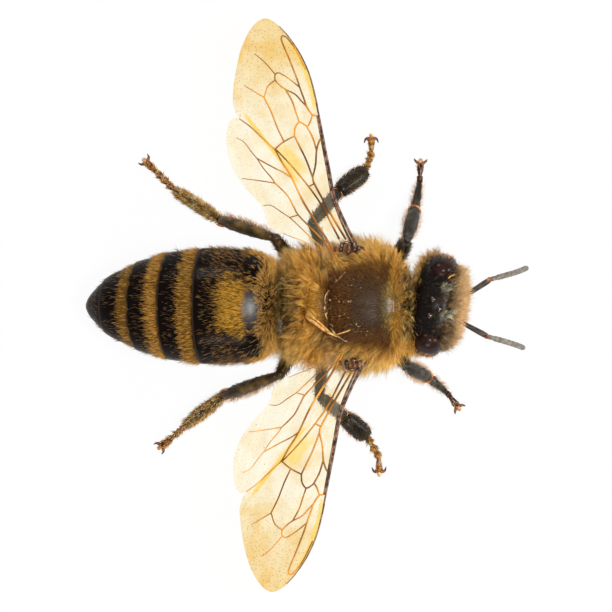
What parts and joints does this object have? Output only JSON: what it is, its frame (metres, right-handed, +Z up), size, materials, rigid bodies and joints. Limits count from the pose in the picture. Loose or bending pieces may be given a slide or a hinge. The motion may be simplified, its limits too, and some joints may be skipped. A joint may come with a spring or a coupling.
{
  "type": "honey bee",
  "caption": "Life-size worker honey bee standing on six legs with its four wings spread and its feelers forward.",
  "frame": {"origin": "on the floor, under the middle of the bee's box", "axes": "+X forward to the head, +Y to the bee's left along the spread wings, +Z up"},
  "size_m": [0.017, 0.0214, 0.0057],
  "materials": {
    "hair": "soft golden brown body hair over dark skin",
    "dark_shell": "satin black-brown shell with golden felt bands",
    "brown_shell": "satin red-brown shell",
    "leg_shell": "satin dark brown shell with short pale bristles",
    "eye_shell": "glossy black-brown, finely faceted",
    "wing_film": "clear amber film with brown veins"
  },
  "bodies": {
    "root": {"thorax": "hair", "propodeum": "hair", "pronotum": "hair", "scutellum": "hair", "head": "dark_shell", "abdomen_1": "dark_shell", "abdomen_2": "dark_shell", "abdomen_3": "dark_shell", "abdomen_4": "dark_shell", "abdomen_5": "dark_shell", "abdomen_6": "dark_shell", "eye_left": "eye_shell", "eye_right": "eye_shell", "mandible_left": "brown_shell", "mandible_right": "brown_shell", "proboscis": "brown_shell", "tegula_left": "brown_shell", "tegula_right": "brown_shell", "antenna_left_scape": "leg_shell", "antenna_left_flagellum": "leg_shell", "forewing_left": "wing_film", "hindwing_left": "wing_film", "antenna_right_scape": "leg_shell", "antenna_right_flagellum": "leg_shell", "forewing_right": "wing_film", "hindwing_right": "wing_film", "fore_left_coxa": "leg_shell", "fore_left_femur": "leg_shell", "fore_left_tibia": "leg_shell", "fore_left_basitarsus": "leg_shell", "fore_left_tarsus": "brown_shell", "fore_right_coxa": "leg_shell", "fore_right_femur": "leg_shell", "fore_right_tibia": "leg_shell", "fore_right_basitarsus": "leg_shell", "fore_right_tarsus": "brown_shell", "middle_left_coxa": "leg_shell", "middle_left_femur": "leg_shell", "middle_left_tibia": "leg_shell", "middle_left_basitarsus": "leg_shell", "middle_left_tarsus": "brown_shell", "middle_right_coxa": "leg_shell", "middle_right_femur": "leg_shell", "middle_right_tibia": "leg_shell", "middle_right_basitarsus": "leg_shell", "middle_right_tarsus": "brown_shell", "hind_left_coxa": "leg_shell", "hind_left_femur": "leg_shell", "hind_left_tibia": "leg_shell", "hind_left_basitarsus": "leg_shell", "hind_left_tarsus": "brown_shell", "hind_right_coxa": "leg_shell", "hind_right_femur": "leg_shell", "hind_right_tibia": "leg_shell", "hind_right_basitarsus": "leg_shell", "hind_right_tarsus": "brown_shell"}
  },
  "joints": []
}
